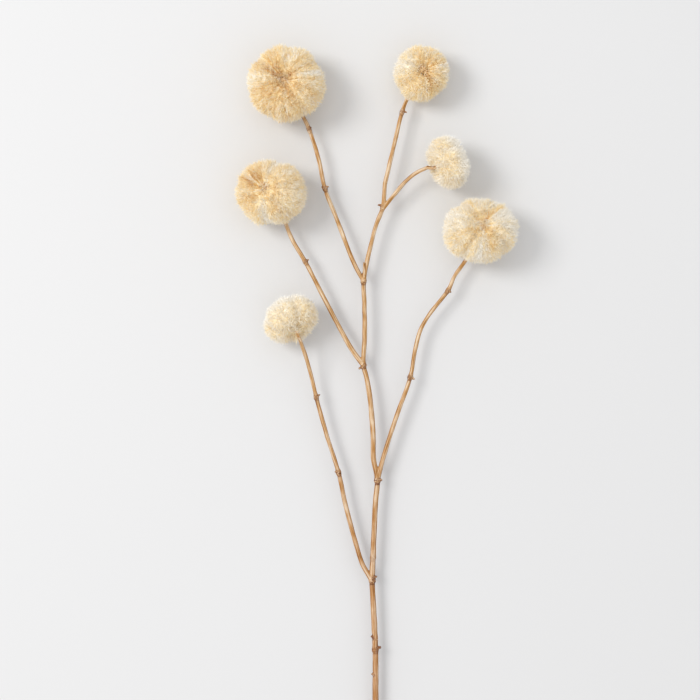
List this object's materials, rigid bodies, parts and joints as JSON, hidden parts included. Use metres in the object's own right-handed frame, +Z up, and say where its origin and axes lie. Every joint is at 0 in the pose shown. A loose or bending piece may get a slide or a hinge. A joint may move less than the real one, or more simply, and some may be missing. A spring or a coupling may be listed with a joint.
{
  "type": "cotton stem bunch",
  "caption": "Dried, branched twig with round fluffy cotton-like heads at its tips, lying flat, for filling a vase or an arrangement.",
  "frame": {"origin": "middle of the lying stem's footprint, on the surface it lies on", "axes": "+Z up from the surface, +Y along the stem from its cut end towards the heads, +X to the right seen from above"},
  "size_m": [0.2464, 0.7568, 0.0545],
  "materials": {
    "bark": "satin",
    "fluff": "matte",
    "receptacle": "matte"
  },
  "bodies": {
    "root": {"stem": "bark", "head_1_locks": "fluff", "head_1_receptacle": "receptacle", "head_2_locks": "fluff", "head_2_receptacle": "receptacle", "head_3_locks": "fluff", "head_3_receptacle": "receptacle", "head_4_locks": "fluff", "head_4_receptacle": "receptacle", "head_5_locks": "fluff", "head_5_receptacle": "receptacle", "head_6_locks": "fluff", "head_6_receptacle": "receptacle"}
  },
  "joints": []
}
